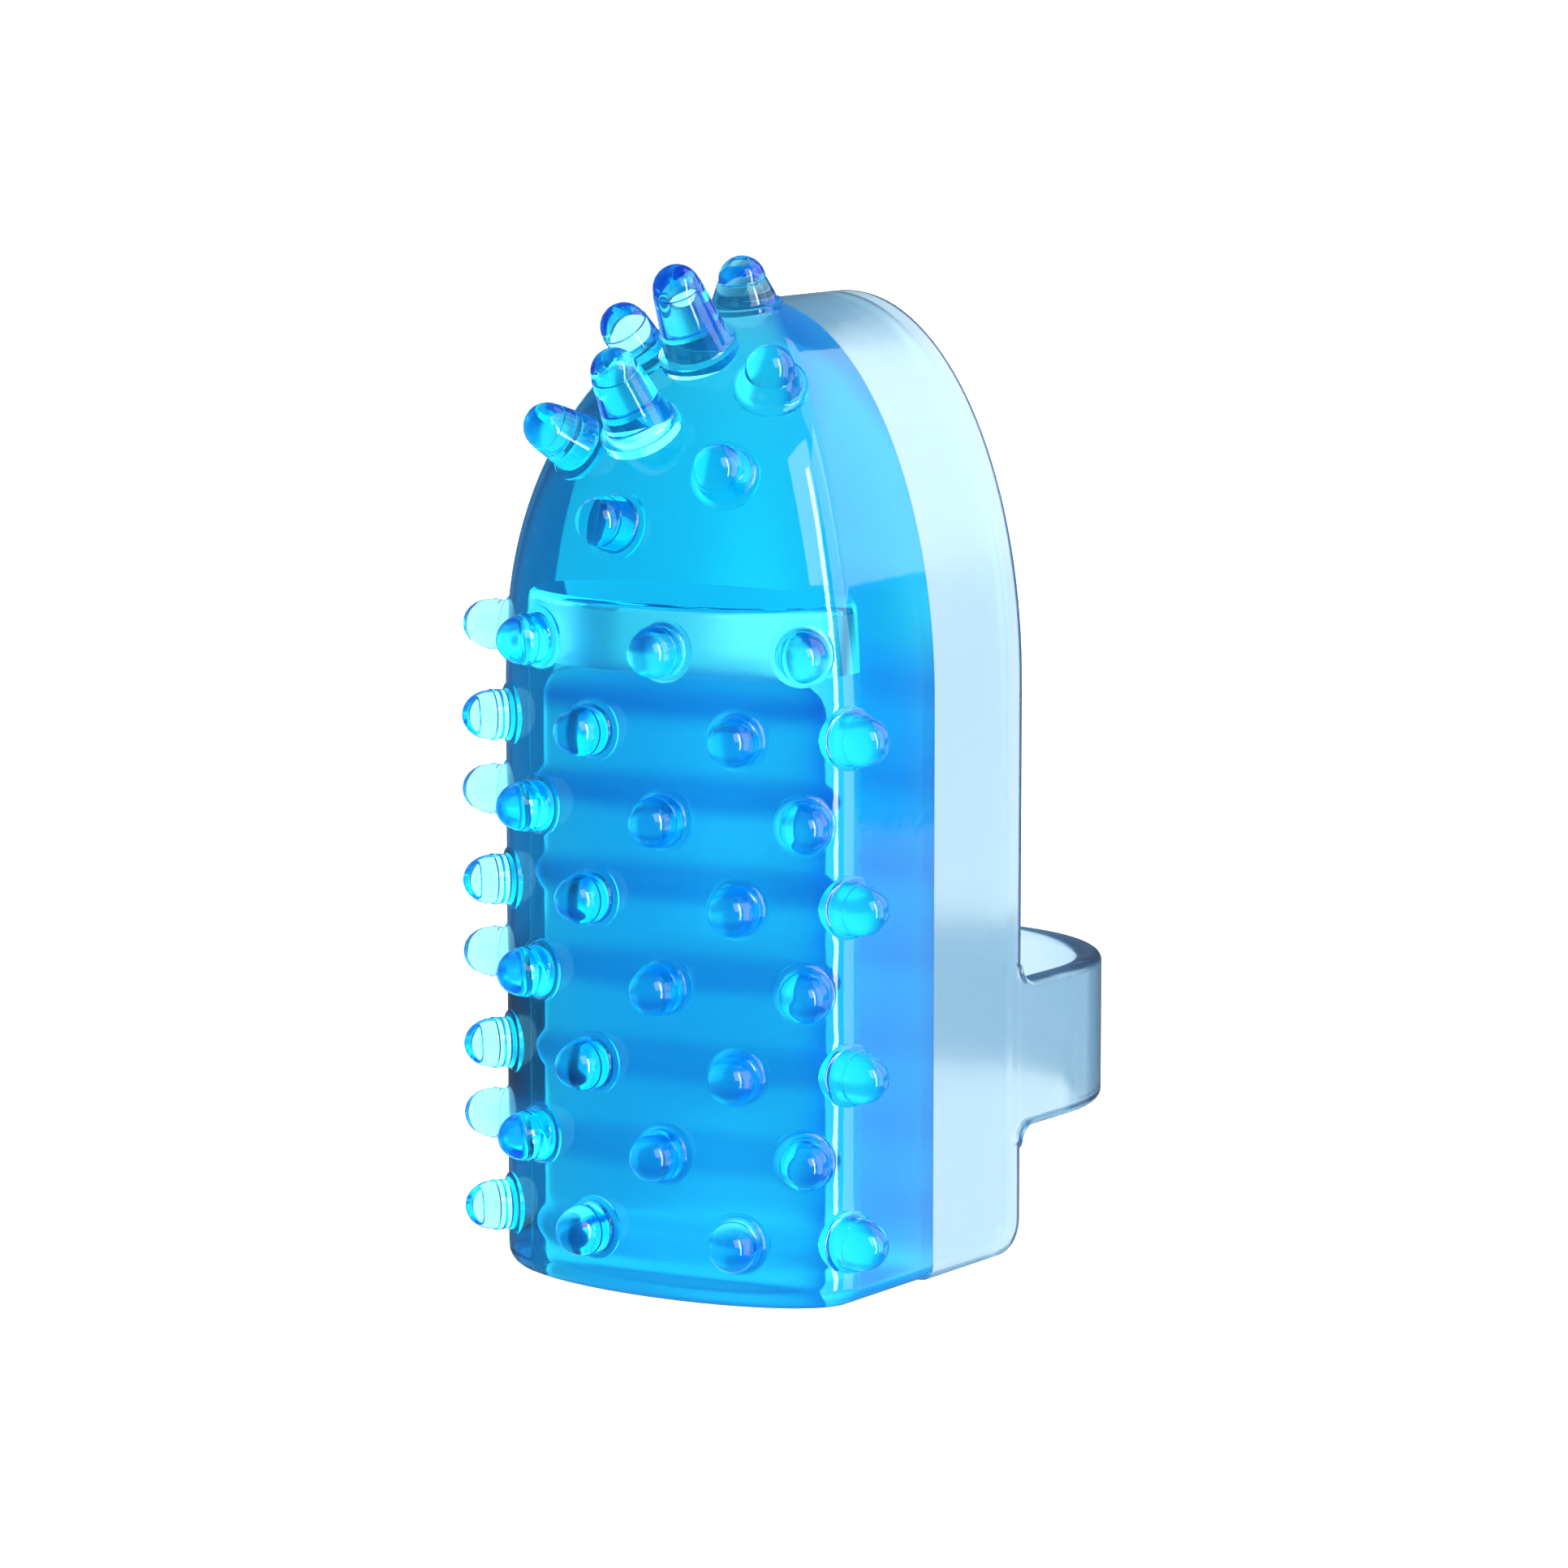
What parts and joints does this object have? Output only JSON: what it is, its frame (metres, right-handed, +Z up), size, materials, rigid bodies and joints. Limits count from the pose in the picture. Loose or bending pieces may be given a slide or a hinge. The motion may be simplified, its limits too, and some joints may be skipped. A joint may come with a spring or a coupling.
{
  "type": "finger toothbrush",
  "caption": "Clear soft fingertip brush: a round-nosed pad with blunt nubs and a ribbed core inside, an open-backed finger cradle and a strap that loops behind the finger.",
  "frame": {"origin": "middle of the lower edge of the wall between the nubbed pad and the finger, on the surface the part stands on", "axes": "+Z up the finger to the domed tip, -Y towards the nubs, +Y towards the finger strap, X side to side"},
  "size_m": [0.0254, 0.0377, 0.0513],
  "materials": {
    "pad_gel": "clear glossy blue elastomer",
    "cradle_gel": "clear glossy elastomer, pale where it is thin",
    "strap_gel": "clear glossy elastomer, pale where it is thin",
    "core_gel": "clear glossy blue elastomer, darker where it is thick",
    "nub_gel": "clear glossy blue elastomer"
  },
  "bodies": {
    "sleeve": {"pad_body": "pad_gel", "finger_cradle": "cradle_gel", "finger_strap": "strap_gel", "pad_nub_1_1": "nub_gel", "pad_nub_1_2": "nub_gel", "pad_nub_1_3": "nub_gel", "pad_nub_1_4": "nub_gel", "pad_nub_2_1": "nub_gel", "pad_nub_2_2": "nub_gel", "pad_nub_2_3": "nub_gel", "pad_nub_2_4": "nub_gel", "pad_nub_3_1": "nub_gel", "pad_nub_3_2": "nub_gel", "pad_nub_3_3": "nub_gel", "pad_nub_3_4": "nub_gel", "pad_nub_4_1": "nub_gel", "pad_nub_4_2": "nub_gel", "pad_nub_4_3": "nub_gel", "pad_nub_4_4": "nub_gel", "pad_nub_5_1": "nub_gel", "pad_nub_5_2": "nub_gel", "pad_nub_5_3": "nub_gel", "pad_nub_5_4": "nub_gel", "pad_nub_6_1": "nub_gel", "pad_nub_6_2": "nub_gel", "pad_nub_6_3": "nub_gel", "pad_nub_6_4": "nub_gel", "pad_nub_7_1": "nub_gel", "pad_nub_7_2": "nub_gel", "pad_nub_7_3": "nub_gel", "pad_nub_7_4": "nub_gel", "pad_nub_8_1": "nub_gel", "pad_nub_8_2": "nub_gel", "pad_nub_8_3": "nub_gel", "pad_nub_8_4": "nub_gel", "tip_nub_1": "nub_gel", "tip_nub_2": "nub_gel", "tip_nub_3": "nub_gel", "tip_nub_4": "nub_gel", "tip_nub_5": "nub_gel", "tip_nub_6": "nub_gel", "tip_nub_7": "nub_gel", "tip_nub_8": "nub_gel"},
    "core": {"ribbed_core": "core_gel"}
  },
  "joints": [
    {"name": "core_slide", "type": "slide", "parent": "sleeve", "child": "core", "axis": [0, 0, -1], "range_m": [0, 0.03]}
  ]
}
